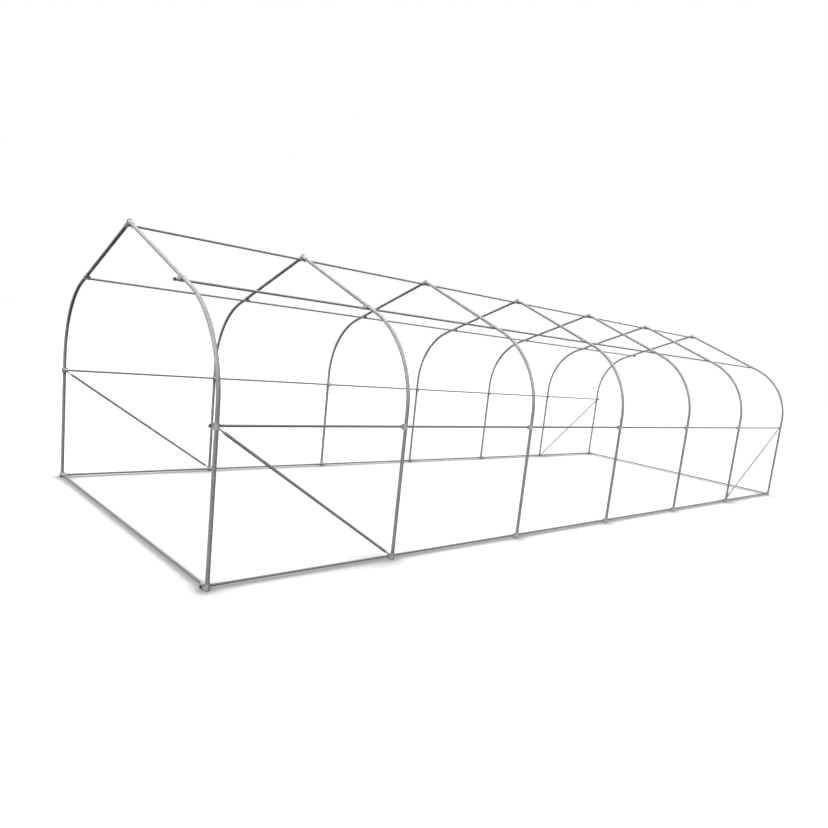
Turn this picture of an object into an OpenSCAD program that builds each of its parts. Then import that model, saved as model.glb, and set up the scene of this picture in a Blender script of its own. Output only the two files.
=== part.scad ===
// Bare tube frame of a polytunnel greenhouse: seven pointed hoops on straight legs,
// tied by purlins, side rails and base rails, with a diagonal brace at each end of both sides.
// X runs across the tunnel, Y along it and Z up; the origin is on the ground under the middle.

/* [Tunnel] */
// Length between the centres of the first and last hoops
tunnel_l = 8000; // [6500:10:9500]
// Width between the centres of the two legs of a hoop
tunnel_w = 3000; // [2600:10:3600]
// Number of bays between hoops
bays = 6; // [3:1:8]
// Height of the straight legs
leg_h = 1040; // [1020:5:1300]
// Radius of the bend above each leg, at the tube's centre
bend_r = 690; // [550:5:800]
// Slope of the straight rafters
roof_slope = 21; // [15:0.5:30]

/* [Tubes] */
// Outer diameter of the hoop and leg tube
hoop_d = 25; // [22:0.5:32]
// Wall of the hoop and leg tube
hoop_wall = 1.5; // [1:0.1:2.5]
// Outer diameter of the purlins and rails
rail_d = 16; // [14:0.5:18]
// Wall of the purlins, rails and braces
rail_wall = 1.2; // [0.8:0.1:1.6]
// Length of the reduced end of a bow that slides into its leg
spigot_l = 60; // [40:5:65]
// Length over which the reduced end is one with the bow's wall
swage_l = 6; // [3:1:12]

/* [Rails] */
// Height of the base rails' centres above the ground
base_rail_z = 22; // [22:1:60]
// Height of the side rails' centres above the ground
side_rail_z = 940; // [780:5:960]
// Distance from the end of the bend up the rafter to the shoulder purlin
purlin_up = 130; // [60:5:300]
// How far the shoulder purlins reach past the clamp at their plugged ends
purlin_over = 14; // [2:1:90]
// How far the ridge purlin reaches past its last U-bolts
ridge_over = 5; // [3:1:60]

/* [Clamps] */
// Thickness of the pressed clamp plates
plate_t = 1.6; // [1.2:0.1:2]
// Width of the clamp flange beside the tube
flange_w = 9.5; // [9:0.5:11]
// Diameter of the bolt holes in clamps and brace tongues
bolt_hole_d = 4.3; // [3.8:0.1:5]
// Length of the sleeve that holds an end rail in a corner clamp
socket_l = 40; // [30:1:70]
// Wall of the corner sleeve
socket_wall = 2; // [1.5:0.25:3]

/* [Ridge] */
// Length of each arm of the apex elbow
elbow_l = 65; // [50:1:110]
// Wall of the apex elbow
elbow_wall = 2.2; // [1.5:0.1:3.5]
// Thickness of the U-bolt's rod
ubolt_d = 5; // [4:0.5:6]
// How far the U-bolt's ends stand out under the ridge purlin
ubolt_tail = 10; // [8:1:20]

/* [Braces] */
// Outer diameter of the braces
brace_d = 20; // [16:0.5:24]
// Thickness of the flattened ends of a brace
tongue_t = 2.6; // [2.4:0.1:4]
// Length of the flattened end beyond its bolt hole
tongue_l = 26; // [24:1:40]
// Length of the taper from the flat end to the round tube
taper_l = 24; // [16:1:40]

/* [End plugs] */
// Diameter of a plug's head
plug_d = 22; // [17:0.5:26]
// Length of a plug's head, of which the outer half narrows
plug_t = 11; // [4:0.5:20]
// Length of the stem that is pushed into the tube
stem_l = 12; // [8:1:25]

/* [Fits] */
// Gap between pieces that seat against each other
seat = 0.3; // [0.1:0.05:0.5]

/* [Hidden] */
$fn = 64;
SIDES = ["left", "right"];
ENDS = ["front", "back"];

hoops = bays + 1;
hoop_r = hoop_d / 2;
rail_r = rail_d / 2;
bay_l = tunnel_l / bays;
half_l = tunnel_l / 2;
half_w = tunnel_w / 2;
cut = 1;
lap = 0.05;
hull_fn = 32;

// The bend turns from upright to the rafter's slope
bend_angle = 90 - roof_slope;
bend_z = leg_h + seat;
bend_end_x = half_w - bend_r + bend_r * cos(bend_angle);
bend_end_z = bend_z + bend_r * sin(bend_angle);
ridge_z = bend_end_z + bend_end_x * tan(roof_slope);
rafter_l = bend_end_x / cos(roof_slope);
spigot_r = hoop_r - hoop_wall - seat;
spigot_bore_r = spigot_r - hoop_wall;

// A rail lies against the inside of the hoop tubes
cross_gap = hoop_r + seat + rail_r;
rail_x = half_w - cross_gap;

// Channels of a cross clamp, its half sizes and its bolt places
hoop_channel_r = hoop_r + seat;
rail_channel_r = rail_r + seat;
along_hoop = rail_channel_r + plate_t + flange_w;
along_rail = hoop_channel_r + plate_t + flange_w;
bolt_on_hoop = along_hoop - flange_w / 2;
bolt_on_rail = along_rail - flange_w / 2;
flange_reach = norm([bolt_on_rail, bolt_on_hoop]) + flange_w / 2;

// The sleeve of a corner clamp starts at the back of its channel
socket_back = cross_gap + rail_channel_r + plate_t;
socket_r = rail_channel_r + socket_wall;
end_rail_half = half_w - socket_back - seat;

// The ridge purlin hangs under the elbows in U-bolts
elbow_bore_r = hoop_r + seat;
elbow_r = elbow_bore_r + elbow_wall;
elbow_rise = elbow_r / cos(roof_slope);
bow_end_gap = hoop_r * tan(roof_slope) + cut;
ridge_purlin_z = ridge_z - elbow_rise - seat - rail_r;
ubolt_r = elbow_r + seat + ubolt_d / 2;
ubolt_z = ridge_z + elbow_rise - elbow_r;
ubolt_leg = ubolt_z - ridge_purlin_z + rail_r + ubolt_tail;

// Reach of the rails from the middle: to the edge of the last clamp, or past it to a purlin's plug
rail_half = half_l + along_rail;
purlin_half = rail_half + purlin_over;
ridge_half = half_l + ubolt_r + ubolt_d / 2 + ridge_over;
stem_r = rail_r - rail_wall - seat;

// A brace lies against the inner faces of the two clamps that hold it
tongue_w = flange_w - 2 * seat;
brace_x = half_w - hoop_r - 2 * seat - plate_t - tongue_t / 2;
brace_top_z = side_rail_z - bolt_on_hoop;
brace_drop = brace_top_z - base_rail_z - bolt_on_hoop;
brace_run = bay_l - 2 * bolt_on_rail;
brace_l = norm([brace_run, brace_drop]);
brace_tilt = atan2(brace_drop, brace_run);

function hoop_y(i) = -half_l + (i - 1) * bay_l;

// Pieces are drawn for the right side and the back end, and mirrored for the others
module on_side(s) {
    mirror([s == "left" ? 1 : 0, 0, 0]) children();
}

module on_end(e) {
    mirror([0, e == "front" ? 1 : 0, 0]) children();
}

// The rails of the left side are those of the right side, turned half round
module turned_to(s) {
    rotate([0, 0, s == "left" ? 180 : 0]) children();
}

// Frame at the top of the bend, on the tube's centre: X out of the roof, Z up the slope
module at_bend_end() {
    translate([bend_end_x, 0, bend_end_z])
        rotate([0, -bend_angle, 0])
            children();
}

module at_shoulder() {
    at_bend_end()
        translate([0, 0, purlin_up])
            children();
}

module tube(d, wall, l) {
    difference() {
        cylinder(d = d, h = l);
        translate([0, 0, -cut]) cylinder(d = d - 2 * wall, h = l + 2 * cut);
    }
}

// Rail tube along Y, with its reach from the origin to the front and to the back
module long_tube(front, back) {
    translate([0, -front, 0])
        rotate([-90, 0, 0])
            tube(rail_d, rail_wall, front + back);
}

module legs(s) {
    color("darkgray")
        on_side(s)
            for (i = [1 : hoops])
                translate([half_w, hoop_y(i), 0])
                    tube(hoop_d, hoop_wall, leg_h);
}

// Reduced end of a bow: it slides into the leg, and its upper end is one with the bow's wall
module spigot() {
    difference() {
        union() {
            translate([0, 0, -spigot_l]) cylinder(r = spigot_r, h = spigot_l + swage_l);
            translate([0, 0, 2 * seat]) cylinder(r = hoop_r - hoop_wall / 2, h = swage_l - 2 * seat);
        }
        translate([0, 0, -spigot_l - cut])
            cylinder(r = spigot_bore_r, h = spigot_l + swage_l + 2 * cut);
    }
}

// Bent stretch of a bow, from the rafter's slope round to upright
module bend() {
    rotate([90, 0, 0])
        rotate_extrude(angle = bend_angle)
            translate([bend_r, 0])
                difference() {
                    circle(d = hoop_d);
                    circle(d = hoop_d - 2 * hoop_wall);
                }
}

// A bow is the upper half of a hoop: reduced end, bend and straight rafter
module bow(i, s) {
    color("gainsboro")
        on_side(s)
            translate([0, hoop_y(i), 0]) {
                translate([half_w, 0, leg_h]) spigot();
                at_bend_end() {
                    tube(hoop_d, hoop_wall, rafter_l - bow_end_gap);
                    translate([-bend_r, 0, 0]) mirror([0, 0, 1]) bend();
                }
            }
}

// Half of an apex elbow: a sleeve down the slope, cut off upright at the middle
module half_elbow() {
    intersection() {
        rotate([0, 90 + roof_slope, 0])
            translate([0, 0, -elbow_r])
                difference() {
                    cylinder(r = elbow_r, h = elbow_l + elbow_r);
                    translate([0, 0, -cut]) cylinder(r = elbow_bore_r, h = elbow_l + elbow_r + 2 * cut);
                }
        translate([0, -elbow_l, -2 * elbow_l])
            cube([2 * elbow_l, 2 * elbow_l, 3 * elbow_l]);
    }
}

// The elbow is a mitred sleeve over the upper ends of both bows
module apex_elbows() {
    color("silver")
        for (i = [1 : hoops])
            translate([0, hoop_y(i), ridge_z]) {
                half_elbow();
                mirror([1, 0, 0]) half_elbow();
            }
}

// A U-bolt hangs over the elbow, and its two legs pass down through the ridge purlin
module ridge_ubolts() {
    color("dimgray")
        for (i = [1 : hoops])
            translate([0, hoop_y(i), ubolt_z]) {
                rotate([90, 0, 90])
                    rotate_extrude(angle = 180)
                        translate([ubolt_r, 0]) circle(d = ubolt_d);
                for (y = [-ubolt_r, ubolt_r])
                    translate([0, y, -ubolt_leg])
                        cylinder(d = ubolt_d, h = ubolt_leg);
            }
}

module ridge_purlin() {
    color("gray")
        difference() {
            translate([0, 0, ridge_purlin_z]) long_tube(ridge_half, ridge_half);
            for (i = [1 : hoops])
                for (y = [-ubolt_r, ubolt_r])
                    translate([0, hoop_y(i) + y, ridge_purlin_z - rail_d])
                        cylinder(r = ubolt_d / 2 + seat, h = 2 * rail_d);
        }
}

module shoulder_purlin(s) {
    color("gray")
        turned_to(s)
            at_shoulder()
                translate([-cross_gap, 0, 0])
                    long_tube(purlin_half, rail_half);
}

module side_rail(s) {
    color("gray")
        turned_to(s)
            translate([rail_x, 0, side_rail_z])
                long_tube(rail_half, rail_half);
}

module long_base_rail(s) {
    color("gray")
        turned_to(s)
            translate([rail_x, 0, base_rail_z])
                long_tube(rail_half, rail_half);
}

module end_base_rail(e) {
    color("gray")
        on_end(e)
            translate([0, half_l, base_rail_z])
                rotate([0, 0, 90])
                    long_tube(end_rail_half, end_rail_half);
}

// Flattened end of a brace with its bolt hole at the origin, tapering up to the round tube
module brace_end() {
    difference() {
        union() {
            rotate([0, 90, 0]) cylinder(d = tongue_w, h = tongue_t, center = true);
            translate([-tongue_t / 2, -tongue_w / 2, 0]) cube([tongue_t, tongue_w, tongue_l + lap]);
        }
        rotate([0, 90, 0]) cylinder(d = bolt_hole_d, h = tongue_t + 2 * cut, center = true);
    }
    hull() {
        translate([-tongue_t / 2, -tongue_w / 2, tongue_l]) cube([tongue_t, tongue_w, lap]);
        translate([0, 0, tongue_l + taper_l]) cylinder(d = brace_d, h = lap, $fn = hull_fn);
    }
}

// A brace falls from the side rail at an end hoop to the base rail at the next hoop
module brace(e, s) {
    color("gray")
        on_end(e)
            on_side(s)
                translate([brace_x, half_l - bolt_on_rail, brace_top_z])
                    rotate([90 + brace_tilt, 0, 0]) {
                        brace_end();
                        translate([0, 0, tongue_l + taper_l])
                            tube(brace_d, rail_wall, brace_l - 2 * (tongue_l + taper_l));
                        translate([0, 0, brace_l]) mirror([0, 0, 1]) brace_end();
                    }
}

// Four bolt holes through a clamp plate, one in each corner outside both channels
module clamp_holes() {
    for (y = [-bolt_on_rail, bolt_on_rail])
        for (z = [-bolt_on_hoop, bolt_on_hoop])
            translate([-cross_gap, y, z])
                rotate([0, 90, 0])
                    cylinder(d = bolt_hole_d, h = 2 * cross_gap);
}

// Flat of a clamp plate, with its corners rounded about the clamp's middle
module flange(x) {
    intersection() {
        translate([x, -along_rail, -along_hoop])
            cube([plate_t, 2 * along_rail, 2 * along_hoop]);
        translate([x - cut, 0, 0])
            rotate([0, 90, 0])
                cylinder(r = flange_reach, h = plate_t + 2 * cut);
    }
}

// Outer plate of a cross clamp: a channel over the hoop tube, which runs along Z
module hoop_plate() {
    channel_out = hoop_channel_r + plate_t;
    difference() {
        union() {
            flange(-hoop_r);
            translate([-hoop_r, -channel_out, -along_hoop])
                cube([hoop_r, 2 * channel_out, 2 * along_hoop]);
            cylinder(r = channel_out, h = 2 * along_hoop, center = true);
        }
        cylinder(r = hoop_channel_r, h = 2 * (along_hoop + cut), center = true);
        translate([-2 * hoop_r, -hoop_channel_r, -along_hoop - cut])
            cube([2 * hoop_r, 2 * hoop_channel_r, 2 * (along_hoop + cut)]);
        clamp_holes();
    }
}

// Room inside the inner plate of a cross clamp for the rail, which runs along Y
module rail_channel() {
    rotate([90, 0, 0])
        cylinder(r = rail_channel_r, h = 2 * (along_rail + cut), center = true);
    translate([0, -along_rail - cut, -rail_channel_r])
        cube([2 * rail_r, 2 * (along_rail + cut), 2 * rail_channel_r]);
}

// Outside of the inner plate of a cross clamp, around the rail's centre
module rail_plate_body() {
    channel_out = rail_channel_r + plate_t;
    flange(rail_r - plate_t);
    translate([0, -along_rail, -channel_out])
        cube([rail_r, 2 * along_rail, 2 * channel_out]);
    rotate([90, 0, 0])
        cylinder(r = channel_out, h = 2 * along_rail, center = true);
}

module rail_plate() {
    difference() {
        translate([-cross_gap, 0, 0])
            difference() {
                rail_plate_body();
                rail_channel();
            }
        clamp_holes();
    }
}

// Inner plate of a corner clamp, with a sleeve on its back for the end rail
module corner_plate() {
    difference() {
        union() {
            translate([-cross_gap, 0, 0]) rail_plate_body();
            translate([-socket_back - socket_l, 0, 0])
                rotate([0, 90, 0])
                    cylinder(r = socket_r, h = socket_l + rail_channel_r);
        }
        translate([-cross_gap, 0, 0]) rail_channel();
        translate([-socket_back - socket_l - cut, 0, 0])
            rotate([0, 90, 0])
                cylinder(r = rail_channel_r, h = socket_l + cut);
        clamp_holes();
    }
}

// Two pressed plates that hold a rail against the inside of a hoop tube
module cross_clamp() {
    hoop_plate();
    rail_plate();
}

module shoulder_clamps(s) {
    color("lightgray")
        on_side(s)
            for (i = [1 : hoops])
                translate([0, hoop_y(i), 0])
                    at_shoulder()
                        cross_clamp();
}

module side_rail_clamps(s) {
    color("lightgray")
        on_side(s)
            for (i = [1 : hoops])
                translate([half_w, hoop_y(i), side_rail_z])
                    cross_clamp();
}

module foot_clamps(s) {
    color("lightgray")
        on_side(s)
            for (i = [2 : hoops - 1])
                translate([half_w, hoop_y(i), base_rail_z])
                    cross_clamp();
}

module corner_clamps() {
    color("lightgray")
        for (s = SIDES)
            for (e = ENDS)
                on_side(s)
                    on_end(e)
                        translate([half_w, half_l, base_rail_z]) {
                            hoop_plate();
                            corner_plate();
                        }
}

// A plug in a tube end that faces -Y and ends at the origin: a wide head and a stem in the bore
module end_plug() {
    half_t = plug_t / 2;
    rotate([-90, 0, 0])
        translate([0, 0, -seat - half_t]) {
            translate([0, 0, -half_t]) cylinder(r1 = stem_r, r2 = plug_d / 2, h = half_t);
            cylinder(d = plug_d, h = half_t);
            cylinder(r = stem_r, h = half_t + seat + stem_l);
        }
}

module end_plugs() {
    color("black")
        for (s = SIDES)
            turned_to(s) {
                at_shoulder()
                    translate([-cross_gap, -purlin_half, 0])
                        end_plug();
                for (z = [base_rail_z, side_rail_z])
                    translate([rail_x, -rail_half, z])
                        end_plug();
            }
}

for (i = [1 : hoops])
    for (s = SIDES)
        bow(i, s);

for (s = SIDES) {
    legs(s);
    shoulder_purlin(s);
    side_rail(s);
    long_base_rail(s);
    shoulder_clamps(s);
    side_rail_clamps(s);
    foot_clamps(s);
}

for (e = ENDS) {
    end_base_rail(e);
    for (s = SIDES)
        brace(e, s);
}

apex_elbows();
ridge_ubolts();
ridge_purlin();
corner_clamps();
end_plugs();
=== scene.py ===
"""Looks of the bare polytunnel greenhouse frame: galvanised tube, bolted clamps and a white studio floor."""

import math

import bmesh
import bpy
from mathutils import Matrix, Vector


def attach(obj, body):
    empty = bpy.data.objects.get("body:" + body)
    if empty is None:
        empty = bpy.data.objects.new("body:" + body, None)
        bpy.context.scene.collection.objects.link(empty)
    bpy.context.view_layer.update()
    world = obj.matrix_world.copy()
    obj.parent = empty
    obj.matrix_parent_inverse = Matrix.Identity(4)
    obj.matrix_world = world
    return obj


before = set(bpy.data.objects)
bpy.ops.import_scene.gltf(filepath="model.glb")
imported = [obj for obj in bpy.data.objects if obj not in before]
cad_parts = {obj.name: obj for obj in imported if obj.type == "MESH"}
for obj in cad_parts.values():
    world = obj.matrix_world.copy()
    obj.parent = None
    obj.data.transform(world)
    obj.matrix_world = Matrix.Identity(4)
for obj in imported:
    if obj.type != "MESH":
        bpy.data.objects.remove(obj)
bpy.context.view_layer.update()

MM = 0.001
TAU = 2 * math.pi

# Driving sizes of the part that the small fasteners sit on, in millimetres
HALF_W = 1500
HALF_L = 4000
BAYS = 6
LEG_H = 1040
BEND_R = 690
ROOF_SLOPE = math.radians(21)
HOOP_R = 12.5
RAIL_R = 8
BASE_RAIL_Z = 22
SIDE_RAIL_Z = 940
PURLIN_UP = 130
PLATE_T = 1.6
FLANGE_W = 9.5
TONGUE_T = 2.6
ELBOW_WALL = 2.2
UBOLT_D = 5
SOCKET_WALL = 2
SEAT = 0.3

# Places and faces that follow from them
BAY_L = 2 * HALF_L / BAYS
BOLT_ON_HOOP = RAIL_R + SEAT + PLATE_T + FLANGE_W / 2
BOLT_ON_RAIL = HOOP_R + SEAT + PLATE_T + FLANGE_W / 2
OUTER_FACE = PLATE_T - HOOP_R
INNER_FACE = -HOOP_R - SEAT - PLATE_T
TONGUE_FACE = INNER_FACE - SEAT - TONGUE_T
SOCKET_R = RAIL_R + SEAT + SOCKET_WALL
SOCKET_BACK = HOOP_R + 2 * RAIL_R + 2 * SEAT + PLATE_T
BEND_END_X = HALF_W - BEND_R + BEND_R * math.sin(ROOF_SLOPE)
BEND_END_Z = LEG_H + SEAT + BEND_R * math.cos(ROOF_SLOPE)
RIDGE_Z = BEND_END_Z + BEND_END_X * math.tan(ROOF_SLOPE)
SHOULDER_X = BEND_END_X - PURLIN_UP * math.cos(ROOF_SLOPE)
SHOULDER_Z = BEND_END_Z + PURLIN_UP * math.sin(ROOF_SLOPE)
ELBOW_R = HOOP_R + SEAT + ELBOW_WALL
RIDGE_PURLIN_Z = RIDGE_Z - ELBOW_R / math.cos(ROOF_SLOPE) - SEAT - RAIL_R
UBOLT_R = ELBOW_R + SEAT + UBOLT_D / 2

HOOPS = range(1, BAYS + 2)
SIDES = (("left", -1), ("right", 1))
BOTH_WAYS = (-1, 1)


def hoop_y(i):
    """Place of a hoop along the tunnel, counted from 1 at the front."""
    return -HALF_L + (i - 1) * BAY_L


# Shader helpers


def new_material(name):
    mat = bpy.data.materials.new(name)
    mat.use_nodes = True
    tree = mat.node_tree
    tree.nodes.clear()
    out = tree.nodes.new("ShaderNodeOutputMaterial")
    return mat, tree, out


def add(tree, kind, inputs=None, **settings):
    """A node with its settings, and its inputs set or linked."""
    n = tree.nodes.new(kind)
    for key, value in settings.items():
        setattr(n, key, value)
    for key, value in (inputs or {}).items():
        if isinstance(value, bpy.types.NodeSocket):
            tree.links.new(value, n.inputs[key])
        else:
            n.inputs[key].default_value = value
    return n


def math_node(tree, operation, a, b):
    return add(tree, "ShaderNodeMath", {0: a, 1: b}, operation=operation).outputs[0]


def weighted_sum(tree, *parts):
    """Sum of (value, weight) pairs."""
    terms = [math_node(tree, "MULTIPLY", value, weight) for value, weight in parts]
    total = terms[0]
    for term in terms[1:]:
        total = math_node(tree, "ADD", total, term)
    return total


WHOLE = (0.0, 1.0)


def remap(tree, value, to, span=WHOLE):
    """The value with its span stretched to another one, and held at both ends."""
    ends = {"From Min": span[0], "From Max": span[1], "To Min": to[0], "To Max": to[1]}
    return add(tree, "ShaderNodeMapRange", {"Value": value, **ends}).outputs["Result"]


def noise(tree, place, pattern):
    return add(tree, "ShaderNodeTexNoise", {"Vector": place, **pattern}).outputs["Fac"]


def height_of(tree, place):
    return add(tree, "ShaderNodeSeparateXYZ", {"Vector": place}).outputs["Z"]


def tint(tree, a, b, factor):
    """Colour a turned into colour b by a factor. Each is a socket or three numbers."""
    n = add(tree, "ShaderNodeMix", data_type="RGBA")
    tree.links.new(factor, n.inputs["Factor"])
    for socket, colour in (("A", a), ("B", b)):
        key = [s for s in n.inputs if s.name == socket and s.type == "RGBA"][0]
        if isinstance(colour, bpy.types.NodeSocket):
            tree.links.new(colour, key)
        else:
            key.default_value = (*colour, 1)
    return [s for s in n.outputs if s.type == "RGBA"][0]


def surface(tree, out, shader):
    tree.links.new(shader.outputs[0], out.inputs["Surface"])


# Galvanised steel: weights and sizes of its pattern, where grime lies, and where painted shade darkens the
# lower parts

SPANGLE_WEIGHT = 0.36
CLOUD_WEIGHT = 0.5
GRIT_WEIGHT = 0.14
CLOUD_PATTERN = {"Scale": 11.0, "Detail": 6.0, "Roughness": 0.62}
GRIT_PATTERN = {"Scale": 420.0, "Detail": 3.0, "Roughness": 0.7}
CLOUD_SPAN = (0.32, 0.68)
GRIT_SPAN = (0.3, 0.7)
SPANGLE_ROUGHNESS = 0.06
CLOUD_ROUGHNESS = (-0.05, 0.08)
SPANGLE_RELIEF = 0.35
ZINC_BUMP = 0.22
ZINC_RELIEF = 0.4 * MM
GRIME_COLOUR = (0.16, 0.15, 0.13)
GRIME_TOP = 0.16
LOWER_SHADE_SHARE = 0.85
LOWER_SHADE_FADE = (1.06, 1.3)
LOWER_SHADE_WANDER = (-0.04, 0.04)


def zinc(name, light, dark, rough, metallic=0.0, spangle_mm=9, grime=0.0, lower_shade=None, gloss=0.5):
    """Zinc spangle, cloudy oxide and fine grit, with a dusty foot, or painted shade that darkens the lower
    part, where asked.
    """
    mat, tree, out = new_material(name)
    place = add(tree, "ShaderNodeTexCoord").outputs["Object"]
    spangle_size = {"Vector": place, "Scale": 1 / (spangle_mm * MM), "Randomness": 1.0}
    cells = add(tree, "ShaderNodeTexVoronoi", spangle_size)
    spangle = add(tree, "ShaderNodeSeparateColor", {"Color": cells.outputs["Color"]}).outputs[0]
    cloud = remap(tree, noise(tree, place, CLOUD_PATTERN), WHOLE, CLOUD_SPAN)
    grit = remap(tree, noise(tree, place, GRIT_PATTERN), WHOLE, GRIT_SPAN)
    tone = weighted_sum(tree, (spangle, SPANGLE_WEIGHT), (cloud, CLOUD_WEIGHT), (grit, GRIT_WEIGHT))
    colour = tint(tree, light, dark, tone)
    if grime:
        foot = remap(tree, height_of(tree, place), (grime, 0.0), (0.0, GRIME_TOP))
        colour = tint(tree, colour, GRIME_COLOUR, math_node(tree, "MULTIPLY", foot, cloud))
    # Painted shade: below about 1.1 m the colour turns to a darker grey, standing in for less light from
    # above on the lower parts
    if lower_shade:
        edge = math_node(tree, "ADD", height_of(tree, place), remap(tree, cloud, LOWER_SHADE_WANDER))
        colour = tint(tree, colour, lower_shade, remap(tree, edge, (LOWER_SHADE_SHARE, 0.0), LOWER_SHADE_FADE))
    by_spangle = remap(tree, spangle, (rough - SPANGLE_ROUGHNESS, rough + SPANGLE_ROUGHNESS))
    roughness = math_node(tree, "ADD", by_spangle, remap(tree, cloud, CLOUD_ROUGHNESS))
    relief = weighted_sum(tree, (cells.outputs["Distance"], SPANGLE_RELIEF), (grit, 1.0))
    bump = add(tree, "ShaderNodeBump", {"Strength": ZINC_BUMP, "Distance": ZINC_RELIEF, "Height": relief})
    finish = {
        "Base Color": colour,
        "Metallic": metallic,
        "Roughness": roughness,
        "Specular IOR Level": gloss,
        "Normal": bump.outputs["Normal"],
    }
    surface(tree, out, add(tree, "ShaderNodeBsdfPrincipled", finish))
    return mat


# Moulded black plastic

PLASTIC_NEW = (0.022, 0.022, 0.024)
PLASTIC_WORN = (0.055, 0.055, 0.056)
WEAR_PATTERN = {"Scale": 60.0, "Detail": 4.0}
WEAR_SPAN = (0.35, 0.7)
GRAIN_PATTERN = {"Scale": 900.0, "Detail": 2.0}
GRAIN_ROUGHNESS = (0.42, 0.62)
GRAIN_BUMP = 0.3
GRAIN_RELIEF = 0.2 * MM


def black_plastic(name):
    """Black plastic with a fine matte grain and paler worn patches."""
    mat, tree, out = new_material(name)
    place = add(tree, "ShaderNodeTexCoord").outputs["Object"]
    grain = noise(tree, place, GRAIN_PATTERN)
    wear = remap(tree, noise(tree, place, WEAR_PATTERN), WHOLE, WEAR_SPAN)
    bump = add(tree, "ShaderNodeBump", {"Strength": GRAIN_BUMP, "Distance": GRAIN_RELIEF, "Height": grain})
    finish = {
        "Base Color": tint(tree, PLASTIC_NEW, PLASTIC_WORN, wear),
        "Roughness": remap(tree, grain, GRAIN_ROUGHNESS),
        "Normal": bump.outputs["Normal"],
    }
    surface(tree, out, add(tree, "ShaderNodeBsdfPrincipled", finish))
    return mat


# Finishes by material slot, and two of their own for braces and elbows

# Painted light: the bows get a paler zinc and the legs a darker one, though they share one galvanised steel,
# standing in for the lit roof and the shaded legs
MATERIALS = {
    "bow_tube": zinc(
        "bow_zinc",
        light=(0.66, 0.67, 0.68),
        dark=(0.38, 0.39, 0.405),
        rough=0.42,
        lower_shade=(0.34, 0.35, 0.343),
        gloss=0.1,
    ),
    "leg_tube": zinc(
        "leg_zinc",
        light=(0.45, 0.46, 0.452),
        dark=(0.23, 0.24, 0.233),
        rough=0.45,
        grime=0.3,
        gloss=0.3,
    ),
    "rail_tube": zinc(
        "rail_zinc",
        light=(0.5, 0.515, 0.515),
        dark=(0.26, 0.272, 0.272),
        rough=0.42,
        spangle_mm=7,
        lower_shade=(0.25, 0.258, 0.258),
        gloss=0.3,
    ),
    "clamp_steel": zinc(
        "clamp_zinc",
        light=(0.63, 0.65, 0.64),
        dark=(0.38, 0.395, 0.39),
        rough=0.38,
        metallic=0.1,
        spangle_mm=6,
    ),
    "bolt_steel": zinc(
        "bolt_zinc",
        light=(0.4, 0.4, 0.39),
        dark=(0.22, 0.22, 0.215),
        rough=0.34,
        metallic=0.6,
        spangle_mm=3,
    ),
    "plug_plastic": black_plastic("plug_black"),
}
BRACE_LOOK = zinc(
    "brace_zinc",
    light=(0.54, 0.555, 0.555),
    dark=(0.29, 0.3, 0.3),
    rough=0.42,
    spangle_mm=7,
    gloss=0.3,
)
ELBOW_LOOK = zinc(
    "elbow_zinc",
    light=(0.68, 0.69, 0.7),
    dark=(0.48, 0.49, 0.505),
    rough=0.4,
    spangle_mm=6,
    gloss=0.25,
)
LOOK_BY_ENDING = {
    "_bow": MATERIALS["bow_tube"],
    "_legs": MATERIALS["leg_tube"],
    "_clamps": MATERIALS["clamp_steel"],
    "_brace": BRACE_LOOK,
    "apex_elbows": ELBOW_LOOK,
    "ridge_ubolts": MATERIALS["bolt_steel"],
    "end_plugs": MATERIALS["plug_plastic"],
}


def node_look(node):
    """Finish of a CAD node by the end of its name. All others are purlins and rails."""
    for ending, look in LOOK_BY_ENDING.items():
        if node.endswith(ending):
            return look
    return MATERIALS["rail_tube"]


for name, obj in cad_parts.items():
    obj.data.materials.clear()
    obj.data.materials.append(node_look(name))


# Mesh helpers, in millimetres


def aim(at, direction):
    """Place and turn that send local +Z along direction, from millimetres to metres."""
    turn = Vector(direction).to_track_quat("Z", "Y").to_matrix().to_4x4()
    return Matrix.Scale(MM, 4) @ Matrix.Translation(Vector(at)) @ turn


def circle(bm, place, r, z, sides, turn=0.0):
    """A ring of new points round local Z."""
    angles = [turn + TAU * k / sides for k in range(sides)]
    return [bm.verts.new(place @ Vector((r * math.cos(a), r * math.sin(a), z))) for a in angles]


def bridge(bm, a, b):
    """Faces between two rings of as many points."""
    for k in range(len(a)):
        j = (k + 1) % len(a)
        bm.faces.new((a[k], a[j], b[j], b[k]))


def ring_stack(bm, place, profile, sides, turn=0.0):
    """A closed solid of revolution, or a prism with few sides, from (radius, height) pairs."""
    rings = [circle(bm, place, r, z, sides, turn) for r, z in profile]
    for a, b in zip(rings, rings[1:]):
        bridge(bm, a, b)
    bm.faces.new(list(reversed(rings[0])))
    bm.faces.new(rings[-1])


def collar(bm, place, profile, sides):
    """A closed ring round a tube, from (radius, height) pairs that go once round its section."""
    rings = [circle(bm, place, r, z, sides) for r, z in profile]
    for a, b in zip(rings, rings[1:] + rings[:1]):
        bridge(bm, a, b)


def add_piece(name, bm, slot_name, smooth_deg=40):
    """Turns a mesh in the making into a piece of the body, with its slot and finish."""
    bmesh.ops.recalc_face_normals(bm, faces=bm.faces)
    mesh = bpy.data.meshes.new(name)
    bm.to_mesh(mesh)
    bm.free()
    for polygon in mesh.polygons:
        polygon.use_smooth = True
    mesh.set_sharp_from_angle(angle=math.radians(smooth_deg))
    obj = bpy.data.objects.new(name, mesh)
    bpy.context.scene.collection.objects.link(obj)
    mesh.materials.append(MATERIALS[slot_name])
    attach(obj, "root")
    return obj


# Small fasteners, drawn along +Z from the face that they sit on
# The foot, top and bevel of a hexagon and the root and tip of a thread are shares of its size

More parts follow.
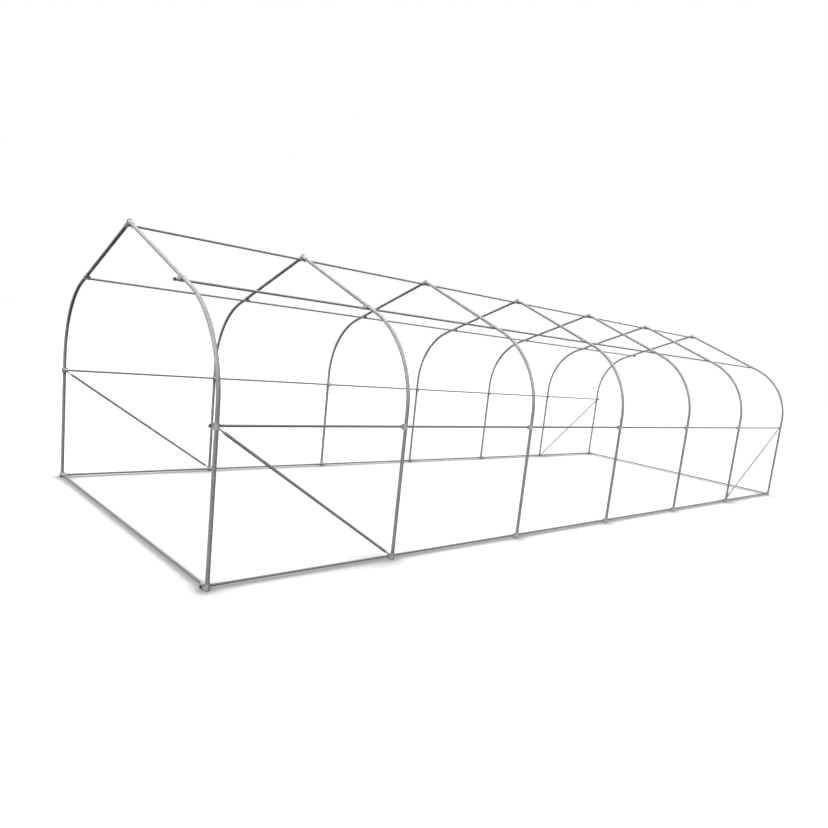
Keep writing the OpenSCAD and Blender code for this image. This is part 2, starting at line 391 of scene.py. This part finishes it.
WASHER_EDGE = 0.3
WASHER_SIDES = 20
HEX_FOOT = 0.93
HEX_TOP = 0.9
HEX_BEVEL = 0.14
BOLT_WASHER_R = 4.3
BOLT_WASHER_T = 0.8
BOLT_FLATS = 7
BOLT_HEAD_H = 2.8
BOLT_NUT_H = 3.2
BOLT_DISC = ((2.4, 0.0), (2.1, 0.2))
THREAD_R = 1.95
THREAD_L = 3.0
THREAD_PITCH = 0.7
THREAD_ROOT = 0.87
THREAD_TIP = 0.72
ROD_SIDES = 12
SCREW_FLANGE = ((4.6, -0.6), (4.8, 0.2), (4.5, 0.9), (3.4, 1.1))
SCREW_FLANGE_SIDES = 18
SCREW_FLATS = 5.5
SCREW_HEAD_H = 2.8
UBOLT_WASHER_R = 5.4
UBOLT_WASHER_T = 1.2
UBOLT_FLATS = 8
UBOLT_NUT_H = 4
TURN_STEP = 12.9898
TURN_GAIN = 43758.5453


def turned(*numbers):
    """A fixed, uneven turn for a fastener, from its place in the row."""
    mixed = sum((k + 3) * TURN_STEP * n for k, n in enumerate(numbers))
    return TAU * (math.sin(mixed) * TURN_GAIN % 1)


def washer(bm, place, r, t):
    face_r = r - WASHER_EDGE
    profile = ((face_r, 0), (r, WASHER_EDGE), (r, t - WASHER_EDGE), (face_r, t))
    ring_stack(bm, place, profile, WASHER_SIDES)


def hexagon(bm, place, z, flats, h, turn):
    """A hexagon with rounded-off top and bottom corners, like a forged nut or bolt head."""
    r = flats / math.sqrt(3)
    bevel = HEX_BEVEL * h
    profile = ((r * HEX_FOOT, z), (r, z + bevel), (r, z + h - bevel), (r * HEX_TOP, z + h))
    ring_stack(bm, place, profile, 6, turn)


def thread(bm, place, z):
    """The end of a threaded rod."""
    steps = max(2, round(2 * THREAD_L / THREAD_PITCH))
    radii = [THREAD_R if k % 2 else THREAD_R * THREAD_ROOT for k in range(steps)]
    profile = [(r, z + THREAD_L * k / steps) for k, r in enumerate(radii)]
    ring_stack(bm, place, (*profile, (THREAD_R * THREAD_TIP, z + THREAD_L)), ROD_SIDES)


def bolt_head(bm, place, turn):
    washer(bm, place, BOLT_WASHER_R, BOLT_WASHER_T)
    hexagon(bm, place, BOLT_WASHER_T, BOLT_FLATS, BOLT_HEAD_H, turn)
    top = BOLT_WASHER_T + BOLT_HEAD_H
    ring_stack(bm, place, [(r, top + z) for r, z in BOLT_DISC], ROD_SIDES)


def nut(bm, place, turn):
    washer(bm, place, BOLT_WASHER_R, BOLT_WASHER_T)
    hexagon(bm, place, BOLT_WASHER_T, BOLT_FLATS, BOLT_NUT_H, turn)
    thread(bm, place, BOLT_WASHER_T + BOLT_NUT_H)


def ubolt_nut(bm, place, turn):
    washer(bm, place, UBOLT_WASHER_R, UBOLT_WASHER_T)
    hexagon(bm, place, UBOLT_WASHER_T, UBOLT_FLATS, UBOLT_NUT_H, turn)


def tapping_screw(bm, place, turn):
    """A hexagon head with its own washer, driven straight into the tube."""
    ring_stack(bm, place, SCREW_FLANGE, SCREW_FLANGE_SIDES)
    hexagon(bm, place, SCREW_FLANGE[-1][1], SCREW_FLATS, SCREW_HEAD_H, turn)


# Bolts of the cross clamps: four a clamp, heads outside and nuts inside

CLAMP_ROWS = (
    ("shoulder", SHOULDER_X, SHOULDER_Z, math.pi / 2 - ROOF_SLOPE),
    ("side_rail", HALF_W, SIDE_RAIL_Z, 0.0),
    ("foot", HALF_W, BASE_RAIL_Z, 0.0),
)


def clamp_frame(sign, x, z, slope):
    """Crossing point of a clamp row on one side, and its directions outward and along the hoop."""
    outward = Vector((sign * math.cos(slope), 0, math.sin(slope)))
    along_hoop = Vector((-sign * math.sin(slope), 0, math.cos(slope)))
    return Vector((sign * x, 0, z)), outward, along_hoop


def has_tongue(row, i, dy, dz):
    """Whether a brace's flat end lies under this corner of a clamp."""
    toward_middle = 1 if i < BAYS / 2 + 1 else -1
    if row == "side_rail":
        return i in (1, BAYS + 1) and dz < 0 and dy == toward_middle
    return row == "foot" and i in (2, BAYS) and dz > 0 and dy == -toward_middle


def add_clamp_bolts(side, sign, row_number, row, x, z, slope):
    bm = bmesh.new()
    centre, outward, along_hoop = clamp_frame(sign, x, z, slope)
    for i in HOOPS:
        for dy in BOTH_WAYS:
            for dz in BOTH_WAYS:
                along_rail = Vector((0, hoop_y(i) + dy * BOLT_ON_RAIL, 0))
                at = centre + along_rail + along_hoop * (dz * BOLT_ON_HOOP)
                inner = TONGUE_FACE if has_tongue(row, i, dy, dz) else INNER_FACE
                head_turn = turned(i, dy, dz, row_number, sign)
                nut_turn = turned(dz, i, dy, sign, row_number)
                bolt_head(bm, aim(at + outward * OUTER_FACE, outward), head_turn)
                nut(bm, aim(at + outward * inner, -outward), nut_turn)
    add_piece(f"{side}_{row}_bolts", bm, "bolt_steel")


for side, sign in SIDES:
    for row_number, clamp_row in enumerate(CLAMP_ROWS):
        add_clamp_bolts(side, sign, row_number, *clamp_row)

# Nuts on the U-bolts under the ridge purlin

bm = bmesh.new()
for i in HOOPS:
    for dy in BOTH_WAYS:
        at = (0, hoop_y(i) + dy * UBOLT_R, RIDGE_PURLIN_Z - RAIL_R)
        ubolt_nut(bm, aim(at, (0, 0, -1)), turned(i, dy))
add_piece("ridge_nuts", bm, "bolt_steel")

# Screws through each arm of the apex elbows, on the underside

ELBOW_SCREW_ALONG = 46
bm = bmesh.new()
for i in HOOPS:
    for sign in BOTH_WAYS:
        down_slope = Vector((sign * math.cos(ROOF_SLOPE), 0, -math.sin(ROOF_SLOPE)))
        under = Vector((-sign * math.sin(ROOF_SLOPE), 0, -math.cos(ROOF_SLOPE)))
        at = Vector((0, hoop_y(i), RIDGE_Z)) + down_slope * ELBOW_SCREW_ALONG + under * ELBOW_R
        tapping_screw(bm, aim(at, under), turned(i, sign))
add_piece("elbow_screws", bm, "bolt_steel")

# Screws that hold the bows in the legs, on the inside

LEG_SCREW_DOWN = 28
LEG_SCREW_ROW = 5
for side, sign in SIDES:
    bm = bmesh.new()
    for i in HOOPS:
        at = Vector((sign * (HALF_W - HOOP_R), hoop_y(i), LEG_H - LEG_SCREW_DOWN))
        tapping_screw(bm, aim(at, (-sign, 0, 0)), turned(i, sign, LEG_SCREW_ROW))
    add_piece(f"{side}_leg_screws", bm, "bolt_steel")

# Rolled rim at the top of each leg

RIM_SIDES = 40
RIM_SECTION = ((-0.2, -5.2), (0.5, -4.4), (0.75, -2.6), (0.5, -0.8), (-0.2, 0.0))
RIM = [(HOOP_R + proud, z) for proud, z in RIM_SECTION]
for side, sign in SIDES:
    bm = bmesh.new()
    for i in HOOPS:
        collar(bm, aim((sign * HALF_W, hoop_y(i), LEG_H), (0, 0, 1)), RIM, RIM_SIDES)
    add_piece(f"{side}_leg_rims", bm, "leg_tube")

# Weld bead round the foot of each corner sleeve, and the screw that holds the end rail in it

BEAD_R = 1.7
BEAD_STEPS = 72
BEAD_SIDES = 8
BEAD_RIPPLES = 24
BEAD_RIPPLE = 0.16
BEAD_WAVES = 5
BEAD_WAVE = 0.08
BEAD_SMOOTH_DEG = 60
SOCKET_SCREW_ALONG = 25
SOCKET_SCREW_ROW = 9


def weld_bead(bm, foot, inward, phase):
    """A rippled bead round a sleeve that starts at foot and runs inward along X."""
    rings = []
    for k in range(BEAD_STEPS):
        angle = TAU * k / BEAD_STEPS
        outward = Vector((0, math.cos(angle), math.sin(angle)))
        ripple = BEAD_RIPPLE * math.sin(angle * BEAD_RIPPLES)
        wave = BEAD_WAVE * math.sin(angle * BEAD_WAVES + phase)
        r = BEAD_R * (1 + ripple + wave)
        leans = [TAU * s / BEAD_SIDES for s in range(BEAD_SIDES)]
        section = [outward * (SOCKET_R + r * math.cos(a)) + inward * (r * math.sin(a)) for a in leans]
        rings.append([bm.verts.new((foot + p) * MM) for p in section])
    for a, b in zip(rings, rings[1:] + rings[:1]):
        bridge(bm, a, b)


beads = bmesh.new()
screws = bmesh.new()
for sign in BOTH_WAYS:
    for toward in BOTH_WAYS:
        foot = Vector((sign * (HALF_W - SOCKET_BACK), toward * HALF_L, BASE_RAIL_Z))
        weld_bead(beads, foot, Vector((-sign, 0, 0)), sign + 2 * toward)
        top = foot + Vector((-sign * SOCKET_SCREW_ALONG, 0, SOCKET_R))
        tapping_screw(screws, aim(top, (0, 0, 1)), turned(sign, toward, SOCKET_SCREW_ROW))
add_piece("corner_weld_beads", beads, "clamp_steel", smooth_deg=BEAD_SMOOTH_DEG)
add_piece("corner_screws", screws, "bolt_steel")

# Floor: white to viewers, with a painted contact shadow where the frame lies close to it, and dark to the
# frame itself

WHITE = (1, 1, 1, 1)
FLOOR_HALF = 60
FLOOR_DROP = 0.5 * MM
CONTACT_REACH = 0.5
CONTACT_SAMPLES = 12
CONTACT_SHADOW_SPAN = (0.84, 1.0)
FLOOR_SHADOW_TONE = (0.3, 0.92)
FLOOR_GLOW = 0.18
BOUNCE = (0.014, 0.014, 0.014, 1)


def white_to_viewers(tree):
    """1 for rays from the camera, from mirrors and through glass, otherwise 0."""
    path = add(tree, "ShaderNodeLightPath")
    seen = math_node(tree, "MAXIMUM", path.outputs["Is Camera Ray"], path.outputs["Is Glossy Ray"])
    return math_node(tree, "MAXIMUM", seen, path.outputs["Is Transmission Ray"])


def floor_material():
    mat, tree, out = new_material("studio_floor")
    contact = {"Distance": CONTACT_REACH}
    # Painted contact shadow: ambient occlusion turns the floor's colour grey near the frame, wider and
    # darker than the lamps would cast
    openness = add(tree, "ShaderNodeAmbientOcclusion", contact, samples=CONTACT_SAMPLES).outputs["AO"]
    tone = remap(tree, openness, FLOOR_SHADOW_TONE, CONTACT_SHADOW_SPAN)
    grey = add(tree, "ShaderNodeCombineColor", {0: tone, 1: tone, 2: tone}).outputs[0]
    shade = add(tree, "ShaderNodeBsdfDiffuse", {"Color": grey})
    glow = add(tree, "ShaderNodeEmission", {"Color": WHITE, "Strength": FLOOR_GLOW})
    lit = add(tree, "ShaderNodeAddShader", {0: shade.outputs[0], 1: glow.outputs[0]})
    bounce = add(tree, "ShaderNodeBsdfDiffuse", {"Color": BOUNCE})
    mix = {0: white_to_viewers(tree), 1: bounce.outputs[0], 2: lit.outputs[0]}
    surface(tree, out, add(tree, "ShaderNodeMixShader", mix))
    return mat


floor_mesh = bpy.data.meshes.new("studio_floor")
corners = [(x * FLOOR_HALF, y * FLOOR_HALF, -FLOOR_DROP) for x, y in ((-1, -1), (1, -1), (1, 1), (-1, 1))]
floor_mesh.from_pydata(corners, [], [(0, 1, 2, 3)])
floor_mesh.materials.append(floor_material())
floor = bpy.data.objects.new("studio_floor", floor_mesh)
bpy.context.scene.collection.objects.link(floor)

# World: a white backdrop to viewers, and a weak sky that fades to the horizon as fill light

BACKDROP = 1.0
SKY_COLOUR = (0.97, 0.985, 1, 1)
SKY_STRENGTH = (0.02, 0.32)
SKY_SPAN = (0.0, 0.8)

world = bpy.data.worlds.new("studio_world")
bpy.context.scene.world = world
world.use_nodes = True
tree = world.node_tree
tree.nodes.clear()
world_out = tree.nodes.new("ShaderNodeOutputWorld")
backdrop = add(tree, "ShaderNodeBackground", {"Color": WHITE, "Strength": BACKDROP})
direction = add(tree, "ShaderNodeTexCoord").outputs["Generated"]
upward = add(tree, "ShaderNodeSeparateXYZ", {"Vector": direction}).outputs["Z"]
sky_strength = remap(tree, upward, SKY_STRENGTH, SKY_SPAN)
sky = add(tree, "ShaderNodeBackground", {"Color": SKY_COLOUR, "Strength": sky_strength})
world_mix = {0: white_to_viewers(tree), 1: sky.outputs[0], 2: backdrop.outputs[0]}
surface(tree, world_out, add(tree, "ShaderNodeMixShader", world_mix))

# Lamps: a soft key from the front right, and a weak one for the back


def soft_sun(name, toward_light, strength, spread_deg):
    lamp = bpy.data.lights.new(name, "SUN")
    lamp.energy = strength
    lamp.angle = math.radians(spread_deg)
    obj = bpy.data.objects.new(name, lamp)
    obj.rotation_euler = Vector(toward_light).to_track_quat("Z", "Y").to_euler()
    bpy.context.scene.collection.objects.link(obj)
    return obj


soft_sun("key_light", toward_light=(0.38, -0.5, 0.78), strength=2.8, spread_deg=42)
soft_sun("back_light", toward_light=(-0.6, 0.55, 0.58), strength=1.2, spread_deg=60)

# Camera at the photo's viewing angle: place, axes, lens and shift from matching the frame's points

CAMERA_AT = (4.951, -5.594, 1.500)
CAMERA_RIGHT = Vector((0.68113, 0.72326, 0.11384))
CAMERA_DOWN = Vector((0.19245, -0.02683, -0.98094))
CAMERA_FORWARD = Vector((-0.70642, 0.69005, -0.15747))
SENSOR_W = 36
LENS = 29.09
SHIFT_X = -0.0428
SHIFT_Y = 0.0501

camera = bpy.data.cameras.new("photo_camera")
camera.sensor_width = SENSOR_W
camera.lens = LENS
camera.shift_x = SHIFT_X
camera.shift_y = SHIFT_Y
camera_obj = bpy.data.objects.new("photo_camera", camera)
camera_turn = Matrix((CAMERA_RIGHT, -CAMERA_DOWN, -CAMERA_FORWARD)).transposed().to_4x4()
camera_obj.matrix_world = Matrix.Translation(CAMERA_AT) @ camera_turn
bpy.context.scene.collection.objects.link(camera_obj)
bpy.context.scene.camera = camera_obj

bpy.context.scene.view_settings.view_transform = "Standard"
